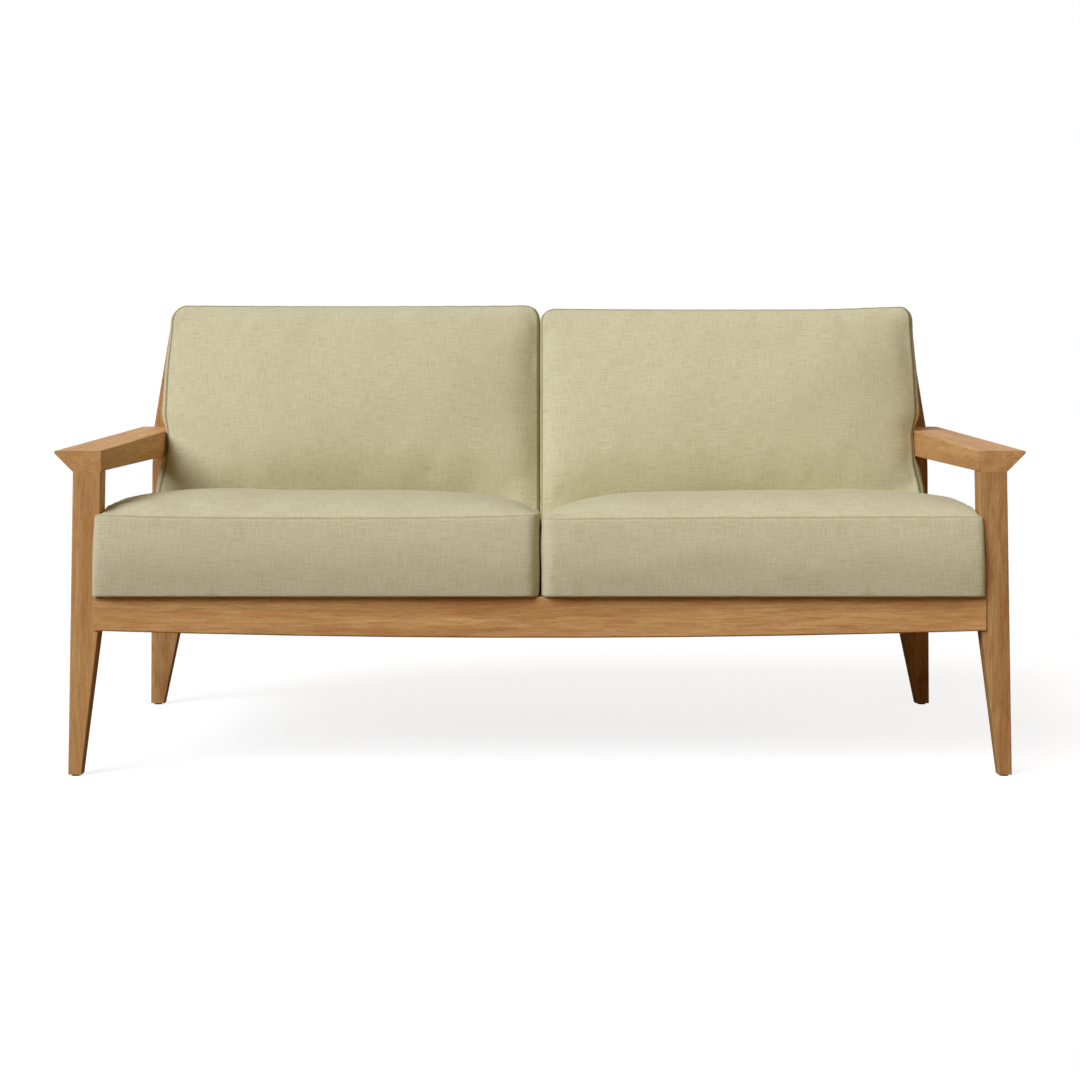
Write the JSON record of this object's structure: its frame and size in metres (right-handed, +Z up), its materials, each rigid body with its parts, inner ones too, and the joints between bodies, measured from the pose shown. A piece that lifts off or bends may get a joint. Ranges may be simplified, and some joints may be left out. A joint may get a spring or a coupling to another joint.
{
  "type": "patio loveseat",
  "caption": "Wooden patio loveseat for two: tapered legs, sloping armrests, slatted seat and back, loose boxed seat and back cushions.",
  "frame": {"origin": "bottom centre of the whole bench, on the floor", "axes": "+X along the seat, +Y from the front of the seat to its back, +Z up"},
  "size_m": [1.652, 0.857, 0.8218],
  "materials": {
    "wood": "oiled teak-like hardwood, straight grain along each piece",
    "cover": "woven outdoor linen look, with self welts",
    "foam": "open-cell foam core",
    "zinc": "zinc plated steel",
    "nylon": "natural nylon"
  },
  "bodies": {
    "frame": {"armrest_left": "wood", "armrest_right": "wood", "back_rail_lower": "wood", "back_rail_top": "wood", "back_slat_01": "wood", "back_slat_02": "wood", "back_slat_03": "wood", "back_slat_04": "wood", "back_slat_05": "wood", "back_slat_06": "wood", "back_slat_07": "wood", "back_slat_08": "wood", "back_slat_09": "wood", "back_slat_10": "wood", "back_slat_11": "wood", "back_slat_12": "wood", "barrel_nuts": "zinc", "centre_stretcher": "wood", "connector_bolts": "zinc", "foot_glides": "nylon", "front_apron": "wood", "front_cleat": "wood", "front_leg_left": "wood", "front_leg_right": "wood", "rear_cleat": "wood", "rear_leg_left": "wood", "rear_leg_right": "wood", "rear_rail": "wood", "seat_slat_01": "wood", "seat_slat_02": "wood", "seat_slat_03": "wood", "seat_slat_04": "wood", "seat_slat_05": "wood", "seat_slat_06": "wood", "seat_slat_07": "wood", "seat_slat_08": "wood", "seat_slat_09": "wood", "seat_slat_10": "wood", "seat_slat_11": "wood", "seat_slat_12": "wood", "side_rail_left": "wood", "side_rail_right": "wood"},
    "seat_cushion_left": {"seat_cushion_cover_left": "cover", "seat_cushion_foam_left": "foam"},
    "seat_cushion_right": {"seat_cushion_cover_right": "cover", "seat_cushion_foam_right": "foam"},
    "back_cushion_left": {"back_cushion_cover_left": "cover", "back_cushion_foam_left": "foam"},
    "back_cushion_right": {"back_cushion_cover_right": "cover", "back_cushion_foam_right": "foam"}
  },
  "joints": [
    {"name": "seat_cushion_left_slides_out", "type": "slide", "parent": "frame", "child": "seat_cushion_left", "axis": [0, -0.9994, 0.0349], "range_m": [0, 0.76]},
    {"name": "back_cushion_left_lifts_out", "type": "slide", "parent": "frame", "child": "back_cushion_left", "axis": [0, 0.2588, 0.9659], "range_m": [0, 0.41]},
    {"name": "seat_cushion_right_slides_out", "type": "slide", "parent": "frame", "child": "seat_cushion_right", "axis": [0, -0.9994, 0.0349], "range_m": [0, 0.76]},
    {"name": "back_cushion_right_lifts_out", "type": "slide", "parent": "frame", "child": "back_cushion_right", "axis": [0, 0.2588, 0.9659], "range_m": [0, 0.41]}
  ]
}
